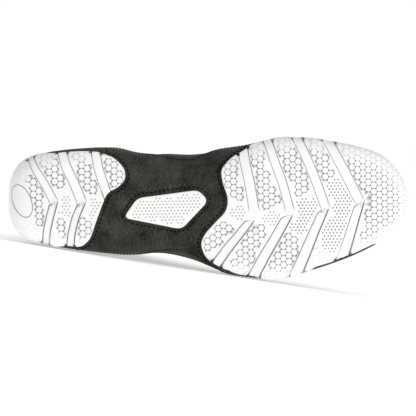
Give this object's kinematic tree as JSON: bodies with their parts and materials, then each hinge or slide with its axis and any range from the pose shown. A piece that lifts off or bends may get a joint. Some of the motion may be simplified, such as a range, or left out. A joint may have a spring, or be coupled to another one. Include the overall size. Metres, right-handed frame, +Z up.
{
  "type": "wrestling shoe",
  "caption": "Left high-top wrestling shoe lying on its side, with a split white rubber sole, dark suede lower, hollow mesh upper, eyestay, tongue and crossed lace",
  "frame": {"origin": "on the floor under the centre of the shoe's box, the shoe lying on its lateral side", "axes": "+X towards the toe, +Y from the sole towards the shaft's collar, +Z up, the shoe's medial side up"},
  "size_m": [0.278, 0.1712, 0.1044],
  "materials": {
    "mesh_cloth": "black mesh",
    "suede": "brushed suede",
    "white_rubber": "matt moulded",
    "lining": "knit lining",
    "enamel": "black enamel",
    "lace_cord": "flat braid"
  },
  "bodies": {
    "root": {"eyelet_lateral_1": "enamel", "eyelet_lateral_2": "enamel", "eyelet_lateral_3": "enamel", "eyelet_lateral_4": "enamel", "eyelet_lateral_5": "enamel", "eyelet_lateral_6": "enamel", "eyelet_lateral_7": "enamel", "eyelet_lateral_8": "enamel", "eyelet_medial_1": "enamel", "eyelet_medial_2": "enamel", "eyelet_medial_3": "enamel", "eyelet_medial_4": "enamel", "eyelet_medial_5": "enamel", "eyelet_medial_6": "enamel", "eyelet_medial_7": "enamel", "eyelet_medial_8": "enamel", "eyestay": "suede", "insole": "lining", "lace": "lace_cord", "outsole_arch": "white_rubber", "outsole_forefoot": "white_rubber", "outsole_heel": "white_rubber", "suede_wrap": "suede", "tongue": "mesh_cloth", "upper": "mesh_cloth"}
  },
  "joints": []
}
